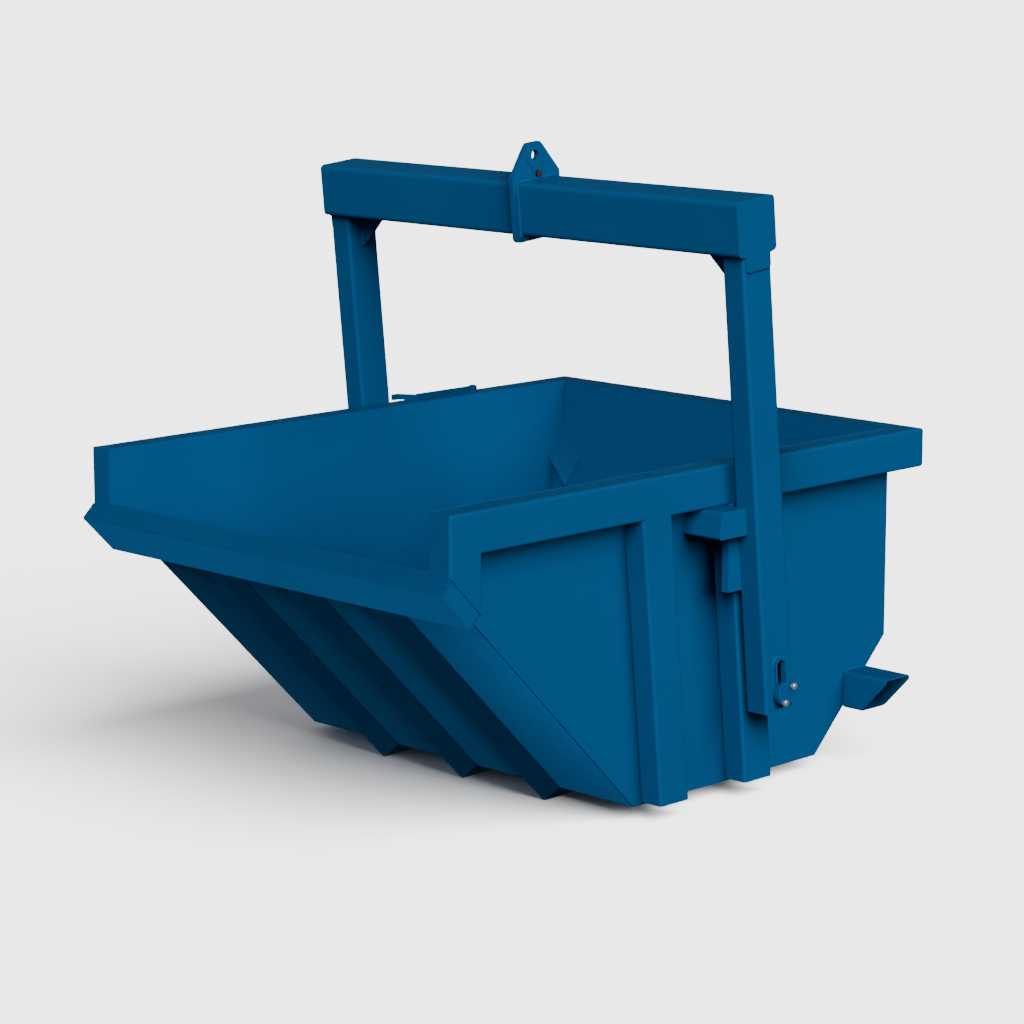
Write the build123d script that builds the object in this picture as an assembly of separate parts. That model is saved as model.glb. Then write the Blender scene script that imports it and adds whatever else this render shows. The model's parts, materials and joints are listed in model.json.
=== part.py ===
from build123d import *
import os
from math import atan2, cos, hypot, radians, sin, sqrt, tan

# Tub, measured over its rim. Lengths are millimetres, angles degrees.
rim_length = 2000.0
rim_width = 1530.0
tub_height = 970.0           # underside of the floor to the top of the rim
mouth_height = 170.0         # pouring edge to the top of the rim
floor_start = 795.0          # front of the rim to the front edge of the floor
floor_length = 805.0
rear_wall_foot = 324.5       # underside of the floor to the foot of the rear wall
plate = 5.0

# Rim rails and front posts, folded channels that the wall plates close
rail_depth = 120.0
rail_width = 75.0
rail_wall = 5.0
rail_bend = 4.0              # inside bend radius

# Upright ribs on the side walls, folded channels
rib_width = 120.0
rib_wall = 5.0
rib_bend = 4.0
rib_pitch = 363.5
rib_foot = 7.0               # foot of a rib above the underside of the floor

# Pouring lip
lip_reach = 160.0            # along the front slope
lip_thick = 57.0
lip_wall = 5.0
lip_bend = 1.0
lip_cap_inset = 4.0          # end of the lip to its cap
cap_thick = 5.0

# Runners, equal angles standing on their toes
runner_leg = 63.0
runner_thick = 6.0
runner_flat = 8.0            # width of the flat that the tub stands on
runner_pitch = 347.0

# Corner plates inside the two rear corners
corner_top = 149.0           # rim top to the plate's upper point
corner_drop = 95.0
corner_reach = 78.5
corner_thick = 6.0

# Lifting frame: arms, beam and the pins that it hangs on
frame_lean = 5.57
pin_from_front = 1226.3
pin_above_floor = 293.0
arm_gap = 20.0               # rim face to arm
arm_width = 80.0
arm_depth = 120.0
arm_wall = 6.0
arm_bend = 4.0
arm_foot = 54.0              # foot of an arm below the pin
foot_cap = 6.0
beam_under = 1294.0          # pin to the underside of the beam
beam_size = 160.0
beam_wall = 8.0
beam_bend = 7.0
end_plate = 5.0
tongue_width = 104.0
tongue_drop = 46.0
tongue_corner = 12.0
gusset_leg = 100.0
gusset_thick = 10.0
gusset_nose = 10.0           # blunt ends of a knee gusset

# Lifting eye
eye_thick = 16.0
eye_border = 20.0            # eye plate beyond the beam, in front, behind and below
eye_corner = 18.0
eye_shoulder = 14.0          # beam top to the shoulders of the eye plate
eye_rise = 70.5              # beam top to the centre of the hole
eye_crown = 46.0             # radius of the plate round the hole
eye_flat = 39.0              # centre of the hole to the flat top
eye_hole = 30.0
eye_ring = 68.0
eye_ring_thick = 3.5
eye_ring_ease = 1.0
tab_width = 30.0
tab_thick = 8.0
tab_bolt_rise = 17.5         # beam top to the tab's bolt

# Pivot pins, their slots and bosses
pin_diameter = 34.0
pin_head = 72.0
pin_head_thick = 17.5
pin_head_edge = 2.0
slot_travel = 83.0
collar_width = 48.0
collar_thick = 12.0
boss_diameter = 70.0
bolt_circle = 57.0
bolt_angle = 45.0
pin_bolt_depth = 12.0        # bolt in the pin head
pin_bolt_stand = 5.5         # pin head to the head of its bolt

# Stops and rests for the frame on the side walls
stop_depth = 108.0           # along the tub, at the top
stop_height = 80.0
stop_flare = 8.5             # how far the front face leans forward at its foot
stop_wall = 5.0
stop_bend = 4.0
stop_reach = 141.0           # side wall to the end of a stop stub
stop_plate_thick = 25.0
stop_plate_offset = 3.0      # rim face to the stop plate
stop_plate_drop = 169.0
stop_plate_depth = 58.0      # front edge of a stop plate to its rear foot
rest_depth = 114.0           # along the tub
rest_height = 114.0
rest_lift = 7.0              # top of a rest stub above the underside of a level arm
rest_wall = 5.0
rest_bend = 5.0
rest_to_rear = 80.0          # rest stub to the rear wall's outer face
rest_reach = 165.0           # side wall to the end of a rest stub, along its top
rest_undercut = 94.0         # how far the bottom stays behind the top
rest_land = 15.0             # upright part of the end, above the undercut

# Swing latch on the left rim rail
latch_inset = 42.0           # rim face to the middle of the lever
latch_pivot_from_front = 1528.0
latch_straight = 248.0       # pivot to the bend
latch_thick = 10.0
latch_height = 20.0
latch_nose_height = 17.5
latch_nose_out = 55.5        # bend to the finger, across the rail
latch_angle = 60.0           # nose to the rail
latch_finger = 26.0          # end of the nose, along the rail
latch_eye = 28.0
latch_stud = 12.0
latch_head = 18.0
latch_head_thick = 2.0

# Bolts
bolt_diameter = 12.0
bolt_across_flats = 19.0
bolt_head = 8.0
bolt_spare = 4.0             # end of a bolt beyond its nut

# Clearances
pin_clearance = 0.05         # between a pin and its boss, and the latch and its stud
slot_clearance = 0.4         # between a pin and its slot
run_gap = 0.5                # between faces that move past each other
stop_gap = 0.4               # between the frame and its stops and rests at the ends of its travel
weld_gap = 0.2               # round a piece that passes through a plate
bolt_clearance = 0.2
overcut = 20.0               # how far a cutting shape reaches past the solid

# Levels and lines that the pieces share; Y from the rim's front end, Z from the ground
runner_height = (runner_leg + runner_thick) / sqrt(2) - runner_flat / 2
floor_z = runner_height
rim_z = floor_z + tub_height
rail_z = rim_z - rail_depth
lip_z = rim_z - mouth_height
rim_x = rim_width / 2
wall_x = rim_x - rail_width
inner_x = wall_x - plate
floor_end = floor_start + floor_length
rear_y = rim_length - rail_width
rear_in = rear_y - plate
rear_foot_z = floor_z + rear_wall_foot
rib_depth = rim_x - wall_x
pin_z = floor_z + pin_above_floor
arm_x = rim_x + arm_gap
arm_out = arm_x + arm_width
slope = atan2(lip_z - floor_z, floor_start)
lean = radians(frame_lean)
slope_run = hypot(floor_start, lip_z - floor_z)
slope_down = (0, cos(slope), -sin(slope))
slope_out = (0, -sin(slope), -cos(slope))
beam_top = beam_under + beam_size
eye_z = beam_top + eye_rise
pin_radius = pin_diameter / 2
slot_width = pin_diameter + 2 * slot_clearance
lip_corner = lip_wall + lip_bend
lip_tip_y = lip_corner * (cos(slope) + sin(slope) - 1) - lip_thick * sin(slope)
y_mid = (lip_tip_y + rim_length) / 2
frame_at = Pos(0, pin_from_front, pin_z) * Rot(frame_lean, 0, 0)

nodes = {}


def add(name, solid):
    nodes[name] = solid


def add_pair(name, right):
    """A piece of the right side and its mirror image on the left."""
    add("right_" + name, right)
    add("left_" + name, mirror(right, about=Plane.YZ))


def box_section(width, depth, length, wall, bend):
    """Hollow section drawn out along +Z, centred on the Z axis."""
    outer = RectangleRounded(width, depth, wall + bend)
    inner = RectangleRounded(width - 2 * wall, depth - 2 * wall, bend)
    return extrude(outer - inner, amount=length)


def folded_channel(width, depth, length, wall, bend):
    """Channel drawn out along +Z, its web on the +X side and its toes towards -X."""
    outer = Rectangle(width, depth)
    outer = fillet(outer.vertices().group_by(Axis.X)[-1], wall + bend)
    return extrude(outer - channel_inside(width, depth, wall, bend, wall), amount=length)


def channel_inside(width, depth, wall, bend, past_toes):
    """Outline of the room inside a folded channel."""
    room = Pos(-(wall + past_toes) / 2, 0) * Rectangle(width - wall + past_toes, depth - 2 * wall)
    return fillet(room.vertices().group_by(Axis.X)[-1], bend)


def rounded_block(width, depth, length, radius):
    """Solid bar with rounded edges drawn out along +Z."""
    return extrude(RectangleRounded(width, depth, radius), amount=length)


def yz_prism(points, x_from, x_to):
    """Outline of (y, z) points drawn out along X."""
    outline = Plane.YZ.offset(x_from) * Polygon(*points, align=None)
    return extrude(outline, amount=x_to - x_from, dir=(1, 0, 0))


def xy_prism(points, z_from, z_to):
    """Outline of (x, y) points drawn out along Z."""
    outline = Plane.XY.offset(z_from) * Polygon(*points, align=None)
    return extrude(outline, amount=z_to - z_from, dir=(0, 0, 1))


def x_rod(radius, x_from, x_to, y, z):
    """Round bar along X."""
    return extrude(Plane.YZ.offset(x_from) * Pos(y, z) * Circle(radius), amount=x_to - x_from)


def slope_height(y):
    """Height of the front slope's outer face."""
    return lip_z - y * tan(slope)


def arm_front_y(z):
    """Where the front face of the leaning arms stands at a height."""
    return pin_from_front - (arm_depth / 2) / cos(lean) - (z - pin_z) * tan(lean)


def shell_lines():
    """Outer line of the folded shell and the same line one plate thickness further in."""
    outer = [(0, lip_z), (floor_start, floor_z), (floor_end, floor_z), (rear_y, rear_foot_z), (rear_y, rim_z)]
    normals = []
    for start, end in zip(outer, outer[1:]):
        run = hypot(end[0] - start[0], end[1] - start[1])
        normals.append(((start[1] - end[1]) / run, (end[0] - start[0]) / run))
    inner = [(0, lip_z + plate / cos(slope))]
    for corner, before, after in zip(outer[1:-1], normals, normals[1:]):
        share = plate / (1 + before[0] * after[0] + before[1] * after[1])
        inner.append((corner[0] + share * (before[0] + after[0]), corner[1] + share * (before[1] + after[1])))
    inner.append((rear_in, rim_z))
    return outer, inner


def add_shell():
    """Floor, slopes and rear wall, mitred where they meet, between two side walls up to the rim."""
    outer, inner = shell_lines()
    names = ["front_slope_plate", "floor_plate", "rear_slope_plate", "rear_wall"]
    for index, name in enumerate(names):
        quad = [outer[index], outer[index + 1], inner[index + 1], inner[index]]
        add(name, yz_prism(quad, -inner_x, inner_x))
    add_pair("side_wall", yz_prism(outer + [(0, rim_z)], inner_x, wall_x))


def side_rail():
    """Rim rail outside a side wall, mitred to the front post below it and to the rear rail beside it."""
    along_y = Plane(origin=((wall_x + rim_x) / 2, 0, rim_z - rail_depth / 2), x_dir=(1, 0, 0), z_dir=(0, 1, 0))
    rail = along_y.location * folded_channel(rail_width, rail_depth, rim_length, rail_wall, rail_bend)
    front_cut = yz_prism(
        [(-overcut, rim_z + overcut), (-overcut, rail_z - overcut), (rail_depth + overcut, rail_z - overcut)],
        wall_x - overcut, rim_x + overcut)
    rear_cut = xy_prism(
        [(wall_x - overcut, rear_y - overcut), (wall_x - overcut, rim_length + overcut),
         (rim_x + overcut, rim_length + overcut)],
        rail_z - overcut, rim_z + overcut)
    return rail - front_cut - rear_cut


def rear_rail():
    """Rim rail across the rear, mitred to both side rails."""
    along_x = Plane(
        origin=(-rim_x, (rear_y + rim_length) / 2, rim_z - rail_depth / 2), x_dir=(0, 1, 0), z_dir=(1, 0, 0))
    rail = along_x.location * folded_channel(rail_width, rail_depth, rim_width, rail_wall, rail_bend)
    corner_cut = xy_prism(
        [(wall_x - overcut, rear_y - overcut), (rim_x + overcut, rear_y - overcut),
         (rim_x + overcut, rim_length + overcut)],
        rail_z - overcut, rim_z + overcut)
    return rail - corner_cut - mirror(corner_cut, about=Plane.YZ)


def front_post():
    """Post at the mouth, mitred to the rail above and cut along the slope below."""
    low = slope_height(rail_depth) - overcut
    post = Pos((wall_x + rim_x) / 2, rail_depth / 2, low) * folded_channel(
        rail_width, rail_depth, rim_z - low, rail_wall, rail_bend)
    top_cut = yz_prism(
        [(-overcut, rim_z + overcut), (rail_depth + overcut, rim_z + overcut), (rail_depth + overcut, rail_z - overcut)],
        wall_x - overcut, rim_x + overcut)
    foot_cut = yz_prism(
        [(-overcut, slope_height(-overcut)), (-overcut, low - overcut), (rail_depth + overcut, low - overcut),
         (rail_depth + overcut, slope_height(rail_depth + overcut))],
        wall_x - overcut, rim_x + overcut)
    return post - top_cut - foot_cut


def add_lip():
    """Folded channel under the pouring edge, closed by the slope plate, with a cap set into each end."""
    middle_run = lip_reach / 2
    middle_out = lip_thick / 2
    y = middle_run * slope_down[1] + middle_out * slope_out[1]
    z = lip_z + middle_run * slope_down[2] + middle_out * slope_out[2]
    across = Plane(origin=(0, y, z), x_dir=slope_out, z_dir=(1, 0, 0))
    channel = folded_channel(lip_thick, lip_reach, rim_width, lip_wall, lip_bend)
    add("pouring_lip", across.location * Pos(0, 0, -rim_x) * channel)
    cap_x = rim_x - lip_cap_inset - cap_thick
    cap = extrude(channel_inside(lip_thick, lip_reach, lip_wall, lip_bend, 0), amount=cap_thick)
    add_pair("lip_end_cap", across.location * Pos(0, 0, cap_x) * cap)


def rib(middle_y):
    """Folded channel against the side wall, leaning like the arms, with level ends."""
    foot_z = floor_z + rib_foot
    half = rib_width / 2 / cos(lean)
    middle = middle_y + (pin_z - foot_z) * tan(lean)
    fold = rib_wall + rib_bend
    outer = Rectangle(rib_depth, 2 * half)
    outer = fillet(outer.vertices().group_by(Axis.X)[-1], fold)
    inner_half = half - rib_wall / cos(lean)
    inner = Pos(-rib_wall, 0) * Rectangle(rib_depth, 2 * inner_half)
    inner = fillet(inner.vertices().group_by(Axis.X)[-1], rib_bend)
    section = Pos(wall_x + rib_depth / 2, middle, foot_z) * (outer - inner)
    return extrude(section, amount=(rail_z - foot_z) / cos(lean), dir=(0, -sin(lean), cos(lean)))


def add_ribs():
    """Two ribs a side; the rear one carries the pivot boss."""
    boss_hole = x_rod(boss_diameter / 2 + weld_gap, wall_x, rim_x + overcut, pin_from_front, pin_z)
    add_pair("front_rib", rib(pin_from_front - rib_pitch))
    add_pair("pivot_rib", rib(pin_from_front) - boss_hole)
    boss_end = arm_x - run_gap
    boss = x_rod(boss_diameter / 2, wall_x, boss_end, pin_from_front, pin_z)
    bore = x_rod(pin_radius + pin_clearance, wall_x - overcut, boss_end + overcut, pin_from_front, pin_z)
    add_pair("pivot_boss", boss - bore)


def runner():
    """Angle on its toes, down the front slope and mitred round under the floor."""
    thick = runner_thick / sqrt(2)
    reach = runner_leg / sqrt(2)
    flat = runner_flat / 2
    section = Polygon(
        (reach - thick, 0), (reach, thick), (flat, runner_height), (-flat, runner_height),
        (-reach, thick), (thick - reach, 0), (0, reach - thick), align=None)
    on_slope = Plane(
        origin=(0, lip_reach * slope_down[1], lip_z + lip_reach * slope_down[2]), x_dir=(1, 0, 0), z_dir=slope_down)
    on_floor = Plane(origin=(0, floor_end, floor_z), x_dir=(1, 0, 0), z_dir=(0, -1, 0))
    corner = Plane(
        origin=(0, floor_start, floor_z), x_dir=(1, 0, 0),
        z_dir=(0, cos(slope / 2), -sin(slope / 2)))
    sloped = extrude(on_slope * section, amount=slope_run - lip_reach + runner_height)
    level = extrude(on_floor * mirror(section, about=Plane.XZ), amount=floor_length + runner_height)
    return split(sloped, bisect_by=corner, keep=Keep.BOTTOM) + split(level, bisect_by=corner, keep=Keep.TOP)


def add_runners():
    """Three runners that the tub stands on."""
    for place, name in zip((-1, 0, 1), ("left_runner", "middle_runner", "right_runner")):
        add(name, Pos(place * runner_pitch, 0, 0) * runner())


def corner_plate():
    """Flat plate set aslant into a rear corner, its lower edges free."""
    top = Vector(inner_x, rear_in, rim_z - corner_top)
    on_side = top - Vector(0, corner_reach, corner_drop)
    on_rear = top - Vector(corner_reach, 0, corner_drop)
    face = make_face(Polyline(top, on_side, on_side + on_rear - top, on_rear, close=True))
    into_corner = (on_side - top).cross(on_rear - top).normalized()
    sheet = extrude(face, amount=corner_thick, dir=into_corner)
    inside = xy_prism([(0, 0), (inner_x, 0), (inner_x, rear_in), (0, rear_in)], floor_z, rim_z)
    return sheet & inside


def add_stops():
    """Stub and plate in front of each arm, and the stub that the arm lies on when laid back."""
    stub_foot = rail_z - stop_height
    rear_top = arm_front_y(rail_z) - stop_gap
    rear_foot = arm_front_y(stub_foot) - stop_gap
    front_top = rear_top - stop_depth
    front_foot = front_top - stop_flare
    outline = Polygon(
        (front_foot, stub_foot), (rear_foot, stub_foot), (rear_top, rail_z), (front_top, rail_z), align=None)
    outer = fillet(outline.vertices(), stop_wall + stop_bend)
    inner = offset(outer, amount=-stop_wall)
    cap_x = wall_x + stop_reach - cap_thick
    add_pair("stop_stub", extrude(Plane.YZ.offset(wall_x) * (outer - inner), amount=cap_x - wall_x, dir=(1, 0, 0)))
    add_pair("stop_end_cap", extrude(Plane.YZ.offset(cap_x) * outer, amount=cap_thick, dir=(1, 0, 0)))

    plate_foot = stub_foot - stop_plate_drop
    plate_rear = arm_front_y(plate_foot) - stop_gap
    plate_front = plate_rear - stop_plate_depth
    plate_x = rim_x + stop_plate_offset
    outline = [(plate_front, plate_foot), (plate_rear, plate_foot), (rear_foot, stub_foot), (plate_front, stub_foot)]
    add_pair("stop_plate", yz_prism(outline, plate_x, plate_x + stop_plate_thick))

    rest_top = pin_z - arm_depth / 2 - stop_gap + rest_lift
    rest_rear = rear_y - rest_to_rear
    from_wall = Plane(
        origin=(wall_x, rest_rear - rest_depth / 2, rest_top - rest_height / 2), x_dir=(0, 1, 0), z_dir=(1, 0, 0))
    rest = from_wall.location * box_section(rest_depth, rest_height, rest_reach, rest_wall, rest_bend)
    end_x = wall_x + rest_reach
    low = rest_top - rest_height
    undercut = Polygon(
        (end_x, rest_top - rest_land), (end_x + overcut, rest_top - rest_land), (end_x + overcut, low - overcut),
        (end_x - rest_undercut, low - overcut), (end_x - rest_undercut, low), align=None)
    across = Plane.XZ.offset(overcut - rest_rear + rest_depth)
    rest -= extrude(across * undercut, amount=rest_depth + 2 * overcut, dir=(0, 1, 0))
    add_pair("rest_stub", rest)


def hex_bolt(length, diameter, across_flats, head):
    """Hexagon bolt along X: shank towards -X, head on the +X side of the origin."""
    hexagon = RegularPolygon(across_flats / 2, 6, major_radius=False)
    body = extrude(Plane.YZ * hexagon, amount=head)
    return body + x_rod(diameter / 2, -length, 0, 0, 0)


def add_pins():
    """Headed pins in the bosses, with two bolts on each head."""
    head_x = arm_out + collar_thick + run_gap
    face_x = head_x + pin_head_thick
    shank = x_rod(pin_radius, wall_x, head_x + overcut / 2, 0, 0)
    head = x_rod(pin_head / 2, head_x, face_x, 0, 0)
    head = chamfer(head.edges().filter_by(GeomType.CIRCLE), pin_head_edge)
    pin = shank + head
    bolts = []
    for side in (-1, 1):
        y = side * bolt_circle / 2 * cos(radians(bolt_angle))
        z = side * bolt_circle / 2 * sin(radians(bolt_angle))
        pin -= x_rod(bolt_diameter / 2 + bolt_clearance, face_x - pin_bolt_depth, face_x + overcut, y, z)
        shank_length = pin_bolt_stand + pin_bolt_depth - bolt_clearance
        bolt = hex_bolt(shank_length, bolt_diameter, bolt_across_flats, bolt_head)
        bolts.append(Pos(face_x + pin_bolt_stand, y, z) * bolt)
    add_pair("pivot_pin", frame_at * pin)
    right = [frame_at * bolt for bolt in bolts]
    left = [mirror(bolt, about=Plane.YZ) for bolt in right]
    add("pin_head_bolts", Compound(children=right + left))


def slot_bar(width, x_from, x_to):
    """Obround bar along X over the pin's travel in the arm."""
    outline = Pos(0, slot_travel / 2) * Rot(0, 0, 90) * SlotCenterToCenter(slot_travel, width)
    return extrude(Plane.YZ.offset(x_from) * outline, amount=x_to - x_from)


def add_arms():
    """Arms with the slots that they hang on the pins by, foot caps and slot collars."""
    middle_x = arm_x + arm_width / 2
    tube_foot = foot_cap - arm_foot
    arm = Pos(middle_x, 0, tube_foot) * box_section(arm_width, arm_depth, beam_under - tube_foot, arm_wall, arm_bend)
    slot = slot_bar(slot_width, arm_x - overcut, arm_out + collar_thick + overcut)
    add_pair("arm", frame_at * (arm - slot))
    cap = rounded_block(arm_width, arm_depth, foot_cap, arm_wall + arm_bend)
    add_pair("arm_cap", frame_at * Pos(middle_x, 0, -arm_foot) * cap)
    collar = slot_bar(collar_width, arm_out, arm_out + collar_thick)
    add_pair("slot_collar", frame_at * (collar - slot))


def add_beam():
    """Cross-beam with its end plates and the knee gussets under it."""
    along_x = Plane(origin=(-arm_out, 0, beam_under + beam_size / 2), x_dir=(0, 1, 0), z_dir=(1, 0, 0))
    beam = along_x.location * box_section(beam_size, beam_size, 2 * arm_out, beam_wall, beam_bend)
    add("cross_beam", frame_at * beam)

    square = Pos(0, beam_under + beam_size / 2) * RectangleRounded(beam_size, beam_size, beam_wall + beam_bend)
    tongue_low = beam_under - tongue_drop
    tongue_top = beam_under + beam_size / 2
    tongue = Pos(0, (tongue_low + tongue_top) / 2) * RectangleRounded(
        tongue_width, tongue_top - tongue_low, tongue_corner)
    outline = square + tongue
    add_pair("beam_end_plate", frame_at * extrude(Plane.YZ.offset(arm_out) * outline, amount=end_plate))

    gusset = Polygon(
        (arm_x, beam_under), (arm_x - gusset_leg, beam_under), (arm_x - gusset_leg, beam_under - gusset_nose),
        (arm_x - gusset_nose, beam_under - gusset_leg), (arm_x, beam_under - gusset_leg), align=None)
    add_pair("knee_gusset", frame_at * extrude(Plane.XZ * gusset, amount=gusset_thick / 2, both=True))


def add_eye():
    """Eye plate collared round the beam, with rings beside the hole and a bolted tab."""
    half_width = beam_size / 2 + eye_border
    low = beam_under - eye_border
    high = beam_top + eye_shoulder
    body = Pos(0, (low + high) / 2) * Rectangle(2 * half_width, high - low)
    crown = Pos(0, eye_z) * Circle(eye_crown)
    outline = make_hull(body.edges() + crown.edges())
    outline = fillet(outline.vertices().group_by(Axis.Y)[0], eye_corner)
    above = Pos(0, eye_z + eye_flat + eye_crown / 2) * Rectangle(2 * half_width, eye_crown)
    window = Pos(0, beam_under + beam_size / 2) * RectangleRounded(
        beam_size + 2 * weld_gap, beam_size + 2 * weld_gap, beam_wall + beam_bend)
    hole = Pos(0, eye_z) * Circle(eye_hole / 2)
    bolt_z = beam_top + tab_bolt_rise
    bolt_hole = Pos(0, bolt_z) * Circle(bolt_diameter / 2 + bolt_clearance)
    eye = extrude(Plane.YZ * (outline - above - window - hole - bolt_hole), amount=eye_thick / 2, both=True)
    add("lifting_eye_plate", frame_at * eye)

    ring_face = Pos(0, eye_z) * (Circle(eye_ring / 2) - Circle(eye_hole / 2 + eye_ring_ease))
    ring = extrude(Plane.YZ.offset(eye_thick / 2) * ring_face, amount=eye_ring_thick)
    add("eye_rings", Compound(children=[frame_at * ring, frame_at * mirror(ring, about=Plane.YZ)]))

    ring_clear = Pos(0, eye_z) * Circle(eye_ring / 2 + weld_gap)
    tab_face = Pos(0, beam_top + weld_gap + eye_rise / 2) * Rectangle(tab_width, eye_rise)
    tab_sketch = tab_face - ring_clear - bolt_hole
    tab_sketch = tab_sketch.faces().sort_by(Axis.Y)[0]
    tab = extrude(Plane.YZ.offset(eye_thick / 2) * tab_sketch, amount=tab_thick)
    add("eye_tab", frame_at * tab)

    grip = eye_thick + tab_thick
    bolt = hex_bolt(grip + bolt_head + bolt_spare, bolt_diameter, bolt_across_flats, bolt_head)
    nut = Pos(-grip, 0, 0) * extrude(
        Plane.YZ * RegularPolygon(bolt_across_flats / 2, 6, major_radius=False), amount=-bolt_head)
    add("eye_tab_bolt", frame_at * Pos(eye_thick / 2 + tab_thick, 0, bolt_z) * (bolt + nut))


def add_latch():
    """Lever that swings on a stud on the left rail; its nose swings out behind the arm."""
    x = latch_inset - rim_x
    y = latch_pivot_from_front
    bend = Vector(x, y - latch_straight)
    turn = radians(latch_angle)
    nose_run = latch_nose_out / sin(turn)
    knee = bend + Vector(-sin(turn), -cos(turn)) * nose_run
    bar = Pos(x, y - latch_straight / 2) * Rectangle(latch_thick, latch_straight)
    bar += Pos(bend.X, bend.Y) * Circle(latch_thick / 2)
    bar += Pos(x, y) * Circle(latch_eye / 2)
    nose = Pos((bend.X + knee.X) / 2, (bend.Y + knee.Y) / 2) * Rot(0, 0, -latch_angle) * Rectangle(
        latch_thick, nose_run)
    nose += Pos(knee.X, knee.Y) * Circle(latch_thick / 2)
    nose += Pos(knee.X, knee.Y - latch_finger / 2) * Rectangle(latch_thick, latch_finger)
    bore = Pos(x, y) * Circle(latch_stud / 2 + pin_clearance)
    low = rim_z + run_gap
    lever = extrude(Plane.XY.offset(low) * (bar - bore), amount=latch_height)
    lever += extrude(Plane.XY.offset(low) * nose, amount=latch_nose_height)
    add("latch_lever", lever)

    shank_top = low + latch_height + run_gap
    stud = Pos(x, y, rim_z) * extrude(Circle(latch_stud / 2), amount=shank_top - rim_z)
    head = Pos(x, y, shank_top) * extrude(Circle(latch_head / 2), amount=latch_head_thick)
    add("latch_stud", stud + head)


def build():
    add_shell()
    add_pair("rim_rail", side_rail())
    add("rear_rim_rail", rear_rail())
    add_pair("front_post", front_post())
    add_lip()
    add_ribs()
    add_runners()
    add_pair("corner_plate", corner_plate())
    add_stops()
    add_pins()
    add_arms()
    add_beam()
    add_eye()
    add_latch()


build()
os.makedirs("parts", exist_ok=True)
for name, solid in nodes.items():
    export_step(Pos(0, -y_mid, 0) * solid, "parts/" + name + ".step")
print(len(nodes), "nodes, middle of the length at", round(y_mid, 2), "runner height", round(runner_height, 2))
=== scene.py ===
import json
import math

import bmesh
import bpy
from mathutils import Matrix, Vector


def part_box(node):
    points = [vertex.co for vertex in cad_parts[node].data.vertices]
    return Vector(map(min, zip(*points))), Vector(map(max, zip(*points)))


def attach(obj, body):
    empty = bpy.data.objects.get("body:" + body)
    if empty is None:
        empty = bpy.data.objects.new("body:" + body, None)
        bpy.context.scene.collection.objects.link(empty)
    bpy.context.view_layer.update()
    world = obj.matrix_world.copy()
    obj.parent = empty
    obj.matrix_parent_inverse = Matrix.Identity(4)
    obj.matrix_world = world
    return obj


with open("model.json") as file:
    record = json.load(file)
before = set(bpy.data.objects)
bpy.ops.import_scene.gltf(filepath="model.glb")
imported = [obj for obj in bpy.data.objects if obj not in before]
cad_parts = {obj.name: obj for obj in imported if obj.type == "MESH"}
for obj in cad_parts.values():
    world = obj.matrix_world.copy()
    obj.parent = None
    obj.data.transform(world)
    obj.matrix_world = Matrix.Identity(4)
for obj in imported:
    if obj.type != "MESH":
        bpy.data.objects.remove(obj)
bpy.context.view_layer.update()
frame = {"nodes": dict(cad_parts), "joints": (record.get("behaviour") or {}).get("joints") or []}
nodes = frame["nodes"]

# Camera of the photograph, metres and degrees
camera_from_pin = (6.8904, -7.0841, 2.3181)
camera_azimuth = 45.176
camera_elevation = 10.893
camera_roll = -0.046
camera_lens_mm = 115.36
camera_sensor_mm = 36.0
camera_reach = 600.0

# Lamps from the right and from the front, for the pieces that have no lamp of their own, degrees
side_lamp = {"azimuth": 95.0, "elevation": 20.0, "strength": 2.2, "spread": 30.0}
front_lamp = {"azimuth": 31.0, "elevation": 25.0, "strength": 3.1, "spread": 30.0}

# Lamps that some pieces have instead of those two. A lamp that is alone is shaded only by what it lights
own_lamps = {
    "wall_lamp": {
        "azimuth": 92.0, "elevation": 36.0, "strength": 4.30, "spread": 54.0,
        "lights": ("right_side_wall", "wall_welds")},
    "corner_lamp": {
        "azimuth": 45.0, "elevation": 25.0, "strength": 2.6, "spread": 30.0,
        "lights": ("left_corner_plate", "latch_lever", "shell_welds")},
    "near_lamp": {
        "azimuth": 55.0, "elevation": 38.0, "strength": 5.55, "spread": 40.0,
        "lights": ("right_pivot_rib", "right_stop_plate", "right_arm", "right_knee_gusset", "frame_welds",
                   "flush_welds")},
    "far_lamp": {
        "azimuth": 47.0, "elevation": 45.0, "strength": 5.35, "spread": 46.0,
        "lights": ("left_arm", "left_knee_gusset")},
    "beam_lamp": {
        "azimuth": 60.0, "elevation": 22.0, "strength": 5.6, "spread": 50.0,
        "lights": ("cross_beam",)},
    "runner_lamp": {
        "azimuth": -2.0, "elevation": 1.0, "strength": 2.3, "spread": 30.0,
        "lights": ("left_runner", "middle_runner", "right_runner", "runner_welds")},
    "rear_lamp": {
        "azimuth": 30.0, "elevation": 14.0, "strength": 2.48, "spread": 30.0, "alone": True,
        "lights": ("rear_wall",)}}

# Lamps that add light to pieces: both faces of the lip, and the bottom of the tub
added_lamps = {
    "inside_lamp": {
        "azimuth": 235.0, "elevation": 65.0, "strength": 2.4, "spread": 60.0, "gloss": False,
        "lights": ("floor_plate", "front_slope_plate", "rear_slope_plate", "right_side_wall",
                   "right_corner_plate", "shell_welds")},
    "lip_top_lamp": {
        "azimuth": 20.0, "elevation": 66.0, "strength": 2.25, "spread": 30.0, "gloss": False,
        "lights": ("pouring_lip",)},
    "lip_low_lamp": {
        "azimuth": 20.0, "elevation": -55.0, "strength": 3.1, "spread": 30.0, "gloss": False, "alone": True,
        "lights": ("pouring_lip",)}}

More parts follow.
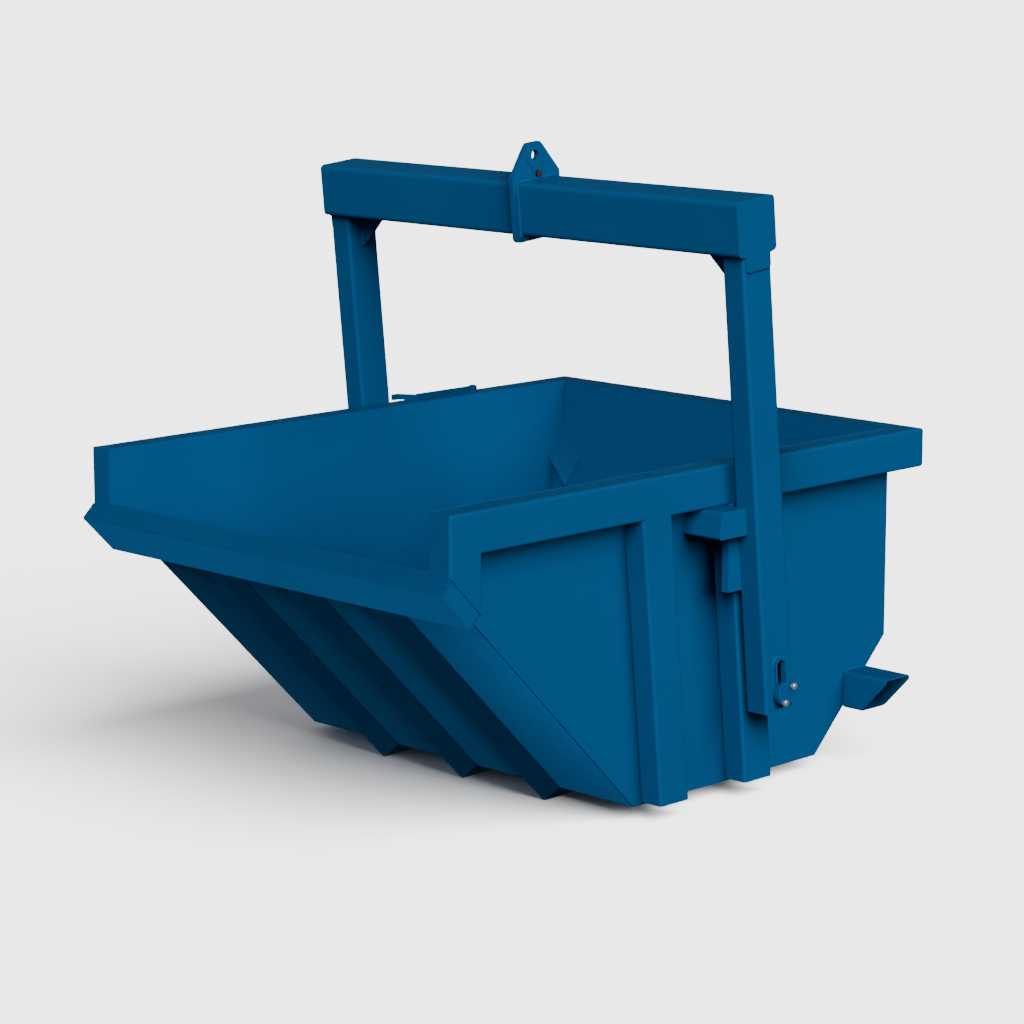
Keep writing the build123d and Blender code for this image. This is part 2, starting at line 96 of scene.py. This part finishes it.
# A weak lamp for the back of every piece, a near one for the bays under the slope, and two for the floor
back_lamp = {
    "azimuth": 225.0, "elevation": -8.0, "strength": 3.0, "spread": 30.0, "gloss": False, "alone": True}
bay_lamp = {"place": (1.7, -0.9, 0.28), "aim": (0.3, -0.4, 0.3), "watts": 36.0, "width": 0.5}
floor_lamp = {"azimuth": 82.0, "elevation": 38.0, "strength": 19.2, "spread": 52.0}
floor_fill = {"azimuth": 60.0, "elevation": 75.0, "strength": 1.1, "spread": 150.0}

# Dim sky, weaker below the horizon, and the floor
sky_above = 0.12
sky_below = 0.05
sky_fade = 0.1
floor_half_width = 150.0
floor_colour = (0.92, 0.92, 0.92, 1.0)
floor_rough = 0.9

# Paint and metal colours, linear
paint_blue = (0.0, 0.075, 0.208, 1.0)
paint_deep = (0.0, 0.069, 0.195, 1.0)
# Lighter blue for edges: partly thin paint film, partly a painted edge highlight
thin_paint_and_edge_highlight = (0.004, 0.095, 0.240, 1.0)
steel_worn = (0.26, 0.26, 0.27, 1.0)
steel_greased = (0.10, 0.095, 0.085, 1.0)
zinc_pale = (0.80, 0.86, 0.92, 1.0)
zinc_dull = (0.56, 0.62, 0.67, 1.0)
oiled_dark = (0.110, 0.100, 0.092, 1.0)
oiled_brown = (0.170, 0.145, 0.120, 1.0)

# Patches in the finishes: noise per metre, and the values that a span of it is drawn out to
paint_clouds = {"scale": 2.2, "detail": 3.0, "span": (0.35, 0.65), "values": (0.0, 1.0)}
paint_breaks = {"scale": 38.0, "detail": 4.0, "grain": 0.6, "span": (0.40, 0.66), "values": (0.0, 0.75)}
paint_sheen = {"scale": 14.0, "detail": 4.0, "span": (0.3, 0.7), "values": (0.44, 0.56)}
wear_patches = {"scale": 70.0, "detail": 5.0, "grain": 0.65, "span": (0.30, 0.52), "values": (0.0, 1.0)}
zinc_mottle = {"scale": 160.0, "detail": 4.0, "span": (0.35, 0.65), "values": (0.0, 1.0)}
oil_patches = {"scale": 120.0, "detail": 4.0, "span": (0.38, 0.62), "values": (0.0, 1.0)}

# Fine relief of the finishes: noise per metre, strength, and depth in metres
paint_waves = {"scale": 5.0, "detail": 1.0, "strength": 0.10, "depth": 0.004}
orange_peel = {"scale": 420.0, "detail": 1.5, "strength": 0.16, "depth": 0.0006}
zinc_relief = {"scale": 900.0, "detail": 2.0, "strength": 0.08, "depth": 0.0004}
steel_relief = {"scale": 700.0, "detail": 2.0, "strength": 0.10, "depth": 0.0004}

# Sheen, roughness, and the band along edges where the paint is lighter, partly thin film and partly a painted
# highlight
paint_specular = 0.05
paint_edge_radius = 0.0035
edge_samples = 4
edge_full_cosine = 0.80
zinc_metallic = 0.85
zinc_rough = (0.22, 0.36)
oiled_rough = (0.32, 0.50)

# Wear: the pins are bare up to a shoulder, the runners are scuffed near the ground, metres
pin_blend = 0.0005
pin_rough = 0.34
scuff_start = 0.010
scuff_full = 0.001
scuff_rough = 0.46

# Weld beads, metres
bead_radius = 0.0036
bead_pitch = 0.0062
bead_step = 0.0021
bead_ripple = 0.16
bead_sides = 7
bead_noise_scale = 60.0
bead_least = 0.85
bead_most = 1.15
collar_steps = 40

# Flush weld on the front edge of a side wall, metres
edge_cover = 0.0001

# Crowns of the bolts on the pin heads: rise in metres, foot and top as shares of the half width
crown_rise = 0.0024
crown_foot = 0.98
crown_top = 0.62
crown_sides = 24

# Places nearer than this are taken as one, metres
touch = 1e-4

# The lifting frame leans: its own axes come from the joints
joints = {joint["name"]: joint for joint in frame["joints"]}
pin_point = Vector(joints["frame_swing"]["pos_m"])
arm_up = Vector(joints["frame_drop"]["axis"]).normalized()
arm_rear = Vector((1, 0, 0)).cross(arm_up) * -1
lean_tangent = -arm_up.y / arm_up.z


def frame_point(x, rear, up):
    """Point given across, rearward and up along the leaning arms, from the pin axis."""
    return Vector((x, pin_point.y, pin_point.z)) + arm_rear * rear + arm_up * up


def corners_of(node):
    """All mesh points of a node."""
    return [vertex.co for vertex in nodes[node].data.vertices]


def frame_box(node):
    """Lowest and highest (across, rearward, up) of a node of the leaning frame."""
    places = []
    for corner in corners_of(node):
        offset = corner - pin_point
        places.append((corner.x, offset.dot(arm_rear), offset.dot(arm_up)))
    low = Vector([min(place[axis] for place in places) for axis in range(3)])
    high = Vector([max(place[axis] for place in places) for axis in range(3)])
    return low, high


def new_object(name, data):
    """An object for a mesh, lamp or camera, put into the scene."""
    holder = bpy.data.objects.new(name, data)
    bpy.context.scene.collection.objects.link(holder)
    return holder


# Materials

class Shader:
    """A node material that is put together a node at a time."""

    def __init__(self, name):
        self.material = bpy.data.materials.new(name)
        self.material.use_nodes = True
        self.tree = self.material.node_tree
        self.inputs = self.tree.nodes["Principled BSDF"].inputs
        self.place = self.add("ShaderNodeTexCoord").outputs["Object"]

    def add(self, kind, **settings):
        node = self.tree.nodes.new(kind)
        for name, value in settings.items():
            setattr(node, name, value)
        return node

    def join(self, source, target):
        self.tree.links.new(source, target)

    def noise(self, setting):
        node = self.add("ShaderNodeTexNoise")
        node.inputs["Scale"].default_value = setting["scale"]
        node.inputs["Detail"].default_value = setting["detail"]
        node.inputs["Roughness"].default_value = setting.get("grain", 0.5)
        self.join(self.place, node.inputs["Vector"])
        return node.outputs["Fac"]

    def spread(self, source, span, values):
        """A span of a value drawn out to two others."""
        node = self.add("ShaderNodeMapRange")
        self.join(source, node.inputs["Value"])
        node.inputs["From Min"].default_value, node.inputs["From Max"].default_value = span
        node.inputs["To Min"].default_value, node.inputs["To Max"].default_value = values
        return node.outputs["Result"]

    def patches(self, setting):
        return self.spread(self.noise(setting), setting["span"], setting["values"])

    def times(self, first, second):
        node = self.add("ShaderNodeMath", operation="MULTIPLY")
        self.join(first, node.inputs[0])
        self.join(second, node.inputs[1])
        return node.outputs[0]

    def blend(self, amount, first, second):
        """Mix of two colours; each is a plain colour or another node's colour."""
        node = self.add("ShaderNodeMix", data_type="RGBA")
        self.join(amount, node.inputs["Factor"])
        for socket, colour in ((node.inputs[6], first), (node.inputs[7], second)):
            if isinstance(colour, tuple):
                socket.default_value = colour
            else:
                self.join(colour, socket)
        return node.outputs[2]

    def relief(self, setting, under=None):
        """Fine bumps, on top of others where they are given."""
        node = self.add("ShaderNodeBump")
        node.inputs["Strength"].default_value = setting["strength"]
        node.inputs["Distance"].default_value = setting["depth"]
        self.join(self.noise(setting), node.inputs["Height"])
        if under is not None:
            self.join(under, node.inputs["Normal"])
        return node.outputs["Normal"]

    def edges(self, radius):
        """About 0 on open faces and towards 1 where the surface turns."""
        bevel = self.add("ShaderNodeBevel", samples=edge_samples)
        bevel.inputs["Radius"].default_value = radius
        true_normal = self.add("ShaderNodeNewGeometry").outputs["Normal"]
        dot = self.add("ShaderNodeVectorMath", operation="DOT_PRODUCT")
        self.join(bevel.outputs["Normal"], dot.inputs[0])
        self.join(true_normal, dot.inputs[1])
        return self.spread(dot.outputs["Value"], (1.0, edge_full_cosine), (0.0, 1.0))


def satin_paint(name):
    """Sprayed satin blue: cloudy colour, orange peel, and a lighter blue along edges that is partly thin
    paint film and partly a painted highlight.
    """
    shader = Shader(name)
    body = shader.blend(shader.patches(paint_clouds), paint_blue, paint_deep)
    # Painted edge highlight, broken into patches: lighter blue where the surface turns, partly thin paint
    # film
    edge_highlight = shader.times(shader.edges(paint_edge_radius), shader.patches(paint_breaks))
    shader.join(shader.blend(edge_highlight, body, thin_paint_and_edge_highlight), shader.inputs["Base Color"])
    shader.join(shader.patches(paint_sheen), shader.inputs["Roughness"])
    shader.inputs["Specular IOR Level"].default_value = paint_specular
    shader.join(shader.relief(orange_peel, shader.relief(paint_waves)), shader.inputs["Normal"])
    return shader


def worn_paint(name, axis, start, full, bare, rough):
    """The same paint, rubbed through in patches beyond a height or distance along one axis."""
    shader = satin_paint(name)
    parts = shader.add("ShaderNodeSeparateXYZ")
    shader.join(shader.place, parts.inputs[0])
    size = shader.add("ShaderNodeMath", operation="ABSOLUTE")
    shader.join(parts.outputs[axis], size.inputs[0])
    reach = shader.spread(size.outputs[0], (start, full), (0.0, 1.0))
    worn = shader.times(reach, shader.patches(wear_patches))
    colour = shader.inputs["Base Color"].links[0].from_socket
    shader.join(shader.blend(worn, colour, bare), shader.inputs["Base Color"])
    shader.join(worn, shader.inputs["Metallic"])
    painted = shader.inputs["Roughness"].links[0].from_socket
    mixed = shader.add("ShaderNodeMix", data_type="FLOAT")
    shader.join(worn, mixed.inputs[0])
    shader.join(painted, mixed.inputs[2])
    mixed.inputs[3].default_value = rough
    shader.join(mixed.outputs[0], shader.inputs["Roughness"])
    return shader


def patchy_metal(name, patches, first, second, metallic, rough, relief):
    """Metal in two tones, rougher where it has the second."""
    shader = Shader(name)
    amount = shader.patches(patches)
    shader.join(shader.blend(amount, first, second), shader.inputs["Base Color"])
    shader.inputs["Metallic"].default_value = metallic
    shader.join(shader.spread(amount, (0.0, 1.0), rough), shader.inputs["Roughness"])
    shader.join(shader.relief(relief), shader.inputs["Normal"])
    return shader


def matt_floor(name):
    """Pale matt floor."""
    shader = Shader(name)
    shader.inputs["Base Color"].default_value = floor_colour
    shader.inputs["Roughness"].default_value = floor_rough
    shader.inputs["Specular IOR Level"].default_value = 0.0
    return shader


def dress(node, material):
    """Gives a solid its finish."""
    mesh = nodes[node].data
    mesh.materials.clear()
    mesh.materials.append(material)


# Shapes grown from plain points and lines

class Tree:
    """A Geometry Nodes tree with named inputs, put together a node at a time."""

    def __init__(self, name, numbers, counts=()):
        self.tree = bpy.data.node_groups.new(name, "GeometryNodeTree")
        new_socket = self.tree.interface.new_socket
        new_socket("Geometry", in_out="INPUT", socket_type="NodeSocketGeometry")
        self.sockets = {}
        for kind, labels in (("NodeSocketFloat", numbers), ("NodeSocketInt", counts)):
            for label in labels:
                self.sockets[label] = new_socket(label, in_out="INPUT", socket_type=kind).identifier
        new_socket("Geometry", in_out="OUTPUT", socket_type="NodeSocketGeometry")
        self.given = self.tree.nodes.new("NodeGroupInput").outputs

    def add(self, kind, fed, **settings):
        """A node, with each of its inputs fed by another node or by a plain value."""
        node = self.tree.nodes.new(kind)
        for name, value in settings.items():
            setattr(node, name, value)
        for socket, source in fed.items():
            if isinstance(source, bpy.types.NodeSocket):
                self.tree.links.new(source, node.inputs[socket])
            else:
                node.inputs[socket].default_value = source
        return node

    def reckon(self, operation, *values):
        return self.add("ShaderNodeMath", dict(enumerate(values)), operation=operation).outputs[0]

    def close(self, shape, material):
        """Ends the tree with plain geometry in its finish."""
        realise = self.add("GeometryNodeRealizeInstances", {0: shape})
        finish = self.add("GeometryNodeSetMaterial", {"Geometry": realise.outputs[0], "Material": material})
        self.add("NodeGroupOutput", {0: finish.outputs[0]})

    def grow(self, name, points, edges, values):
        """Plain mesh of what the tree makes of some points and edges."""
        plan = bpy.data.meshes.new(name + "_plan")
        plan.from_pydata(points, edges, [])
        piece = new_object(name, plan)
        modifier = piece.modifiers.new("grown", "NODES")
        modifier.node_group = self.tree
        for label, value in values.items():
            modifier[self.sockets[label]] = value
        depsgraph = bpy.context.evaluated_depsgraph_get()
        mesh = bpy.data.meshes.new_from_object(piece.evaluated_get(depsgraph))
        mesh.name = name
        piece.modifiers.clear()
        piece.data = mesh
        return piece


# Weld beads

def bead_tree(paint):
    """Turns plain lines into rippled beads."""
    tree = Tree("weld_bead", ("Radius", "Pitch", "Step", "Ripple"), ("Sides",))
    given = tree.given
    line = tree.add("GeometryNodeMeshToCurve", {0: given["Geometry"]}).outputs[0]
    fine = tree.add("GeometryNodeResampleCurve", {"Curve": line, "Length": given["Step"]}, mode="LENGTH")
    along = tree.add("GeometryNodeSplineParameter", {}).outputs["Length"]
    turns = tree.reckon("DIVIDE", along, given["Pitch"])
    wave = tree.reckon("SINE", tree.reckon("MULTIPLY", turns, math.tau))
    swell = tree.reckon("MULTIPLY_ADD", wave, given["Ripple"], 1.0)
    noise = tree.add("ShaderNodeTexNoise", {"Scale": bead_noise_scale}).outputs["Fac"]
    uneven = tree.add("ShaderNodeMapRange", {"Value": noise, "To Min": bead_least, "To Max": bead_most})
    size = tree.reckon("MULTIPLY", swell, uneven.outputs["Result"])
    radius = tree.reckon("MULTIPLY", size, given["Radius"])
    profile = tree.add("GeometryNodeCurvePrimitiveCircle", {"Radius": 1.0, "Resolution": given["Sides"]})
    tube = tree.add("GeometryNodeCurveToMesh", {
        "Curve": fine.outputs[0], "Profile Curve": profile.outputs["Curve"], "Scale": radius,
        "Fill Caps": True})
    smooth = tree.add("GeometryNodeSetShadeSmooth", {0: tube.outputs[0]})
    tree.close(smooth.outputs[0], paint)
    return tree


def weld(tree, name, lines, body):
    """Beads along lines of points, riding on a body."""
    points = []
    edges = []
    for line in lines:
        first = len(points)
        points.extend(tuple(point) for point in line)
        edges.extend((first + step, first + step + 1) for step in range(len(line) - 1))
    piece = tree.grow(name, points, edges, {
        "Radius": bead_radius, "Pitch": bead_pitch, "Step": bead_step, "Ripple": bead_ripple,
        "Sides": bead_sides})
    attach(piece, body)
    return piece


def both_sides(lines):
    """Lines of the right side and their mirror images."""
    mirrored = [[Vector((-point[0], point[1], point[2])) for point in line] for line in lines]
    return lines + mirrored


def rib_lines(node):
    """Both edges of a leaning rib against its side wall."""
    low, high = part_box(node)
    shift = (high.z - low.z) * lean_tangent
    width = high.y - low.y - shift
    rear_foot = Vector((low.x, high.y, low.z))
    rear_top = Vector((low.x, low.y + width, high.z))
    ahead = Vector((0, width, 0))
    return [[rear_foot, rear_top], [rear_foot - ahead, rear_top - ahead]]


def turns_inward(first, second, third):
    """Whether the path over three marks leaves the middle one inside the outline."""
    along = (second[0] - first[0], second[1] - first[1])
    onward = (third[0] - first[0], third[1] - first[1])
    return along[0] * onward[1] - along[1] * onward[0] <= 0


def outline_at(node, x):
    """Closed outer outline of a solid on the upright plane at x."""
    marks = sorted({
        (round(corner.y, 6), round(corner.z, 6)) for corner in corners_of(node) if abs(corner.x - x) < touch})
    loop = []
    for run in (marks, marks[::-1]):
        side = []
        for mark in run:
            while len(side) > 1 and turns_inward(side[-2], side[-1], mark):
                side.pop()
            side.append(mark)
        loop += side[:-1]
    loop.append(loop[0])
    return [Vector((x, y, z)) for y, z in loop]


def shell_weld_lines():
    """Inside corners of the tub, and the joint under the rim."""
    wall_low, wall_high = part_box("right_side_wall")
    slope_low, slope_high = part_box("front_slope_plate")
    floor_low, floor_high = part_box("floor_plate")
    rear_low, rear_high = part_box("rear_wall")
    inside = wall_low.x
    floor_top = floor_high.z
    floor_inset = (floor_high.z - floor_low.z) / 2
    lip = Vector((inside, slope_low.y, slope_high.z))
    front = Vector((inside, floor_low.y + floor_inset, floor_top))
    rear = Vector((inside, floor_high.y - floor_inset, floor_top))
    foot = Vector((inside, rear_low.y, rear_low.z + floor_inset))
    top = Vector((inside, rear_low.y, rear_high.z))
    lines = [[lip, front, rear, foot, top]]
    for corner in (front, rear, foot):
        lines.append([corner, Vector((0, corner.y, corner.z))])
    rail_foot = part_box("right_rim_rail")[0].z
    post_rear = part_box("right_front_post")[1].y
    outside = wall_high.x
    lines.append([Vector((outside, post_rear, rail_foot)), Vector((outside, wall_high.y, rail_foot))])
    return lines


def stop_weld_lines():
    """Stubs and plates on the right side wall."""
    lines = [outline_at("right_stop_stub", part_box("right_stop_stub")[0].x)]
    plate_low, plate_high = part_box("right_stop_plate")
    for x in (plate_low.x, plate_high.x):
        top = [point for point in outline_at("right_stop_plate", x) if point.z > plate_high.z - touch]
        lines.append(top[:2])
    rest_low, rest_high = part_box("right_rest_stub")
    slope_low, slope_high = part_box("rear_slope_plate")
    rise = (slope_high.z - slope_low.z) / (slope_high.y - slope_low.y)
    foot = slope_low.z + (rest_low.y - slope_low.y) * rise + bead_radius
    tail = slope_low.y + (rest_high.z - slope_low.z) / rise - bead_radius
    lines.append([
        Vector((rest_low.x, rest_low.y, max(foot, rest_low.z))),
        Vector((rest_low.x, rest_low.y, rest_high.z)),
        Vector((rest_low.x, min(tail, rest_high.y), rest_high.z))])
    return lines


def slope_underside():
    """Lower and upper end of the outer face of the front slope, seen from the side."""
    loop = outline_at("front_slope_plate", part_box("front_slope_plate")[1].x)
    faces = sorted(zip(loop, loop[1:]), key=lambda face: (face[1] - face[0]).length)[-2:]
    faces = [sorted(face, key=lambda point: point.z) for face in faces]
    along = faces[0][1] - faces[0][0]
    outward = Vector((0, -along.z, along.y))
    return max(faces, key=lambda face: (face[0] + face[1]).dot(outward))


def runner_weld_lines(node):
    """Both toes of a runner, down the slope and along the floor."""
    low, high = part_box(node)
    slope_foot, slope_top = slope_underside()
    floor_low, floor_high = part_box("floor_plate")
    share = (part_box("pouring_lip")[0].z - slope_foot.z) / (slope_top.z - slope_foot.z)
    start = slope_foot.lerp(slope_top, share) * Vector((0, 1, 1))
    corner = slope_foot * Vector((0, 1, 1))
    end = Vector((0, floor_high.y, floor_low.z))
    lines = []
    for x in (low.x, high.x):
        across = Vector((x, 0, 0))
        lines.append([start + across, corner + across, end + across])
    return lines


def rectangle(low, high):
    """Closed path round a rectangle, from its lowest corner."""
    return [low, (high[0], low[1]), high, (low[0], high[1]), low]


def frame_weld_lines():
    """Seams of the lifting frame."""
    lines = []
    beam_low, beam_high = frame_box("cross_beam")
    eye_low, eye_high = frame_box("lifting_eye_plate")
    for x in (eye_low.x, eye_high.x):
        round_beam = rectangle(tuple(beam_low.yz), tuple(beam_high.yz))
        lines.append([frame_point(x, rear, up) for rear, up in round_beam])
    sides = []
    arm_low, arm_high = frame_box("right_arm")
    round_arm = rectangle(tuple(arm_low.xy), tuple(arm_high.xy))
    sides.append([frame_point(x, rear, arm_high.z) for x, rear in round_arm])
    knee_low, knee_high = frame_box("right_knee_gusset")
    for rear in (knee_low.y, knee_high.y):
        sides.append([
            frame_point(knee_high.x, rear, knee_low.z), frame_point(knee_high.x, rear, knee_high.z),
            frame_point(knee_low.x, rear, knee_high.z)])
    collar_low, collar_high = frame_box("right_slot_collar")
    radius = (collar_high.y - collar_low.y) / 2
    ends = (collar_low.z + radius, collar_high.z - radius)
    outline = []
    for step in range(collar_steps + 1):
        turn = math.tau * step / collar_steps
        middle = ends[1] if math.sin(turn) >= 0 else ends[0]
        outline.append(frame_point(collar_low.x, radius * math.cos(turn), middle + radius * math.sin(turn)))
    sides.append(outline)
    return lines + both_sides(sides)


def add_welds(paint):
    """All beads, one piece for each group."""
    ribs = rib_lines("right_front_rib") + rib_lines("right_pivot_rib")
    runner_toes = []
    for node in ("left_runner", "middle_runner", "right_runner"):
        runner_toes += runner_weld_lines(node)
    groups = {
        "wall_welds": (both_sides(ribs + stop_weld_lines()), "tub"),
        "shell_welds": (both_sides(shell_weld_lines()), "tub"),
        "runner_welds": (runner_toes, "tub"),
        "frame_welds": (frame_weld_lines(), "lifting_frame")}
    tree = bead_tree(paint)
    return [weld(tree, name, lines, body) for name, (lines, body) in groups.items()]


# Flush welds

def add_prism(points, faces, near_end, far_end):
    """Adds a solid between two outlines with as many corners."""
    first = len(points)
    count = len(near_end)
    points.extend(near_end + far_end)
    faces.append(range(first, first + count))
    faces.append(range(first + count, first + 2 * count))
    for corner in range(count):
        onward = (corner + 1) % count
        faces.append((first + corner, first + onward, first + count + onward, first + count + corner))


def groove_outline(side, x, y, foot, bend):
    """Corner left open by the rail's lower bend, at one end of the groove."""
    return [(side * x, y, foot + bend), (side * x, y, foot), (side * (x - bend), y, foot)]


def edge_outline(side, low, high, z):
    """Thin cover in front of a side wall's front edge, at one height."""
    return [(side * x, y, z) for x, y in rectangle((low.x, low.y - edge_cover), (high.x, low.y))[:4]]


def add_flush_welds(paint):
    """Ground welds: the groove between rail and ribs, and the front edge of each side wall."""
    rail_low, rail_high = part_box("right_rim_rail")
    rail_face = [corner.z for corner in corners_of("right_rim_rail") if rail_high.x - corner.x < touch]
    bend = min(rail_face) - rail_low.z
    wall_low, wall_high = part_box("right_side_wall")
    wall_edge = [corner.z for corner in corners_of("right_side_wall") if corner.y - wall_low.y < touch]
    points = []
    faces = []
    for side in (1, -1):
        for node in ("right_front_rib", "right_pivot_rib"):
            rear_edge, front_edge = rib_lines(node)
            ends = (front_edge[1].y + bend, rear_edge[1].y - bend)
            add_prism(points, faces, *[groove_outline(side, rail_high.x, y, rail_low.z, bend) for y in ends])
        ends = (min(wall_edge), max(wall_edge))
        add_prism(points, faces, *[edge_outline(side, wall_low, wall_high, z) for z in ends])
    mesh = bpy.data.meshes.new("flush_welds")
    mesh.from_pydata(points, [], faces)
    shell = bmesh.new()
    shell.from_mesh(mesh)
    bmesh.ops.recalc_face_normals(shell, faces=shell.faces)
    shell.to_mesh(mesh)
    shell.free()
    mesh.materials.append(paint)
    piece = new_object("flush_welds", mesh)
    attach(piece, "tub")
    return piece


# Bolt crowns

def crown_tree(zinc):
    """Puts a chamfered crown on each point, facing outward along X."""
    tree = Tree("bolt_crown", ("Foot", "Top", "Rise"))
    given = tree.given
    crown = tree.add("GeometryNodeMeshCone", {
        "Vertices": crown_sides, "Radius Bottom": given["Foot"], "Radius Top": given["Top"],
        "Depth": given["Rise"]})
    parts = tree.add("ShaderNodeSeparateXYZ", {0: tree.add("GeometryNodeInputPosition", {}).outputs[0]})
    outward = tree.add("ShaderNodeCombineXYZ", {"X": tree.reckon("SIGN", parts.outputs["X"])})
    turn = tree.add("FunctionNodeAlignEulerToVector", {"Vector": outward.outputs[0]}, axis="Z")
    points = tree.add("GeometryNodeMeshToPoints", {"Mesh": given["Geometry"]})
    place = tree.add("GeometryNodeInstanceOnPoints", {
        "Points": points.outputs[0], "Instance": crown.outputs["Mesh"], "Rotation": turn.outputs[0]})
    tree.close(place.outputs[0], zinc)
    return tree


def bolt_faces():
    """Middles of the outer faces of the bolts on the pin heads, and their half width."""
    groups = {}
    for corner in corners_of("pin_head_bolts"):
        groups.setdefault((corner.x > 0, corner.z > pin_point.z), []).append(corner)
    middles = []
    for spots in groups.values():
        outer = max(abs(spot.x) for spot in spots)
        rim = {tuple(round(part, 5) for part in spot) for spot in spots if outer - abs(spot.x) < touch}
        middles.append(sum((Vector(spot) for spot in rim), Vector()) / len(rim))
    half_corner = max((Vector(spot) - middles[-1]).length for spot in rim)
    return middles, half_corner * math.cos(math.pi / 6)


def add_bolt_crowns(zinc):
    """Chamfered crowns on the four bolt heads, riding with the pins."""
    middles, half_width = bolt_faces()
    crowns = crown_tree(zinc).grow("bolt_crowns", [tuple(middle) for middle in middles], [], {
        "Foot": half_width * crown_foot, "Top": half_width * crown_top, "Rise": crown_rise})
    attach(crowns, "pivot_pins")
    return crowns


# Studio

def add_floor():
    half = floor_half_width
    mesh = bpy.data.meshes.new("studio_floor")
    corners = [(x, y, 0) for x, y in rectangle((-half, -half), (half, half))[:4]]
    mesh.from_pydata(corners, [], [(0, 1, 2, 3)])
    mesh.materials.append(matt_floor("floor_matt").material)
    floor = new_object("studio_floor", mesh)
    floor.visible_diffuse = False
    floor.visible_glossy = False
    return floor


def compass(azimuth, elevation):
    """Direction from the object towards something seen at an azimuth and elevation."""
    turn = math.radians(azimuth)
    rise = math.radians(elevation)
    return Vector((math.sin(turn) * math.cos(rise), -math.cos(turn) * math.cos(rise), math.sin(rise)))


def hang_lamp(name, lamp, towards, lit, alone=False):
    """Puts up a lamp that lights some pieces only; one that is alone is shaded only by them."""
    holder = new_object(name, lamp)
    holder.rotation_euler = towards.to_track_quat("Z", "Y").to_euler()
    group = bpy.data.collections.new(name + "_lights")
    for piece in lit:
        group.objects.link(piece)
    holder.light_linking.receiver_collection = group
    if alone:
        holder.light_linking.blocker_collection = group
    return holder


def add_lamp(name, setting, lit):
    """A far, broad lamp."""
    lamp = bpy.data.lights.new(name, "SUN")
    lamp.energy = setting["strength"]
    lamp.angle = math.radians(setting["spread"])
    towards = compass(setting["azimuth"], setting["elevation"])
    holder = hang_lamp(name, lamp, towards, lit, setting.get("alone", False))
    holder.visible_glossy = setting.get("gloss", True)


def add_low_lamp(name, setting, lit):
    """A broad lamp that stands low and near."""
    lamp = bpy.data.lights.new(name, "AREA")
    lamp.energy = setting["watts"]
    lamp.shape = "DISK"
    lamp.size = setting["width"]
    holder = hang_lamp(name, lamp, Vector(setting["place"]) - Vector(setting["aim"]), lit)
    holder.location = setting["place"]
    holder.visible_camera = False
    holder.visible_glossy = False


def add_lamps(pieces, floor):
    """All lamps. The lip's two lamps take the place of the front lamp only."""
    own_lit = {name for setting in own_lamps.values() for name in setting["lights"]}
    side_lit = [piece for name, piece in pieces.items() if name not in own_lit]
    front_lit = [piece for piece in side_lit if piece is not pieces["pouring_lip"]]
    add_lamp("side_lamp", side_lamp, side_lit)
    add_lamp("front_lamp", front_lamp, front_lit)
    for name, setting in {**own_lamps, **added_lamps}.items():
        add_lamp(name, setting, [pieces[lit] for lit in setting["lights"]])
    add_lamp("back_lamp", back_lamp, pieces.values())
    add_low_lamp("bay_lamp", bay_lamp, [pieces["front_slope_plate"]])
    add_lamp("floor_lamp", floor_lamp, [floor])
    add_lamp("floor_fill", floor_fill, [floor])


def add_sky():
    """Even dim light, weaker from below."""
    sky = bpy.data.worlds.new("dim_sky")
    sky.use_nodes = True
    tree = sky.node_tree
    direction = tree.nodes.new("ShaderNodeTexCoord")
    parts = tree.nodes.new("ShaderNodeSeparateXYZ")
    tree.links.new(direction.outputs["Generated"], parts.inputs[0])
    level = tree.nodes.new("ShaderNodeMapRange")
    level.inputs["From Min"].default_value = -sky_fade
    level.inputs["From Max"].default_value = sky_fade
    level.inputs["To Min"].default_value = sky_below
    level.inputs["To Max"].default_value = sky_above
    tree.links.new(parts.outputs["Z"], level.inputs["Value"])
    tree.nodes["Background"].inputs["Color"].default_value = (1, 1, 1, 1)
    tree.links.new(level.outputs["Result"], tree.nodes["Background"].inputs["Strength"])
    bpy.context.scene.world = sky


def add_camera():
    """The photograph's camera, placed from the pin axis."""
    lens = bpy.data.cameras.new("photo_camera")
    lens.sensor_width = camera_sensor_mm
    lens.lens = camera_lens_mm
    lens.clip_end = camera_reach
    camera = new_object("photo_camera", lens)
    back = compass(camera_azimuth, camera_elevation)
    turn = math.radians(camera_azimuth)
    right = Vector((math.cos(turn), math.sin(turn), 0))
    axes = Matrix((right, back.cross(right), back)).transposed()
    roll = Matrix.Rotation(math.radians(camera_roll), 3, "Z")
    place = Vector((0, pin_point.y, pin_point.z)) + Vector(camera_from_pin)
    camera.matrix_world = Matrix.Translation(place) @ (axes @ roll).to_4x4()
    bpy.context.scene.camera = camera


blue = satin_paint("satin_blue").material
pin_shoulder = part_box("right_slot_collar")[1].x
pin_finish = worn_paint(
    "running_pin", "X", pin_shoulder + pin_blend, pin_shoulder - pin_blend, steel_greased, pin_rough).material
runner_finish = worn_paint("scuffed_runner", "Z", scuff_start, scuff_full, steel_worn, scuff_rough).material
zinc = patchy_metal(
    "bright_zinc", zinc_mottle, zinc_pale, zinc_dull, zinc_metallic, zinc_rough, zinc_relief).material
oiled_steel = patchy_metal(
    "oiled_steel", oil_patches, oiled_dark, oiled_brown, 1.0, oiled_rough, steel_relief).material
finishes = {
    "pin_head_bolts": zinc, "eye_tab_bolt": oiled_steel,
    "left_pivot_pin": pin_finish, "right_pivot_pin": pin_finish,
    "left_runner": runner_finish, "middle_runner": runner_finish, "right_runner": runner_finish}
for node in nodes:
    dress(node, finishes.get(node, blue))
added = add_welds(blue) + [add_flush_welds(blue), add_bolt_crowns(zinc)]
pieces = {**nodes, **{piece.name: piece for piece in added}}
studio = add_floor()
add_lamps(pieces, studio)
add_sky()
add_camera()
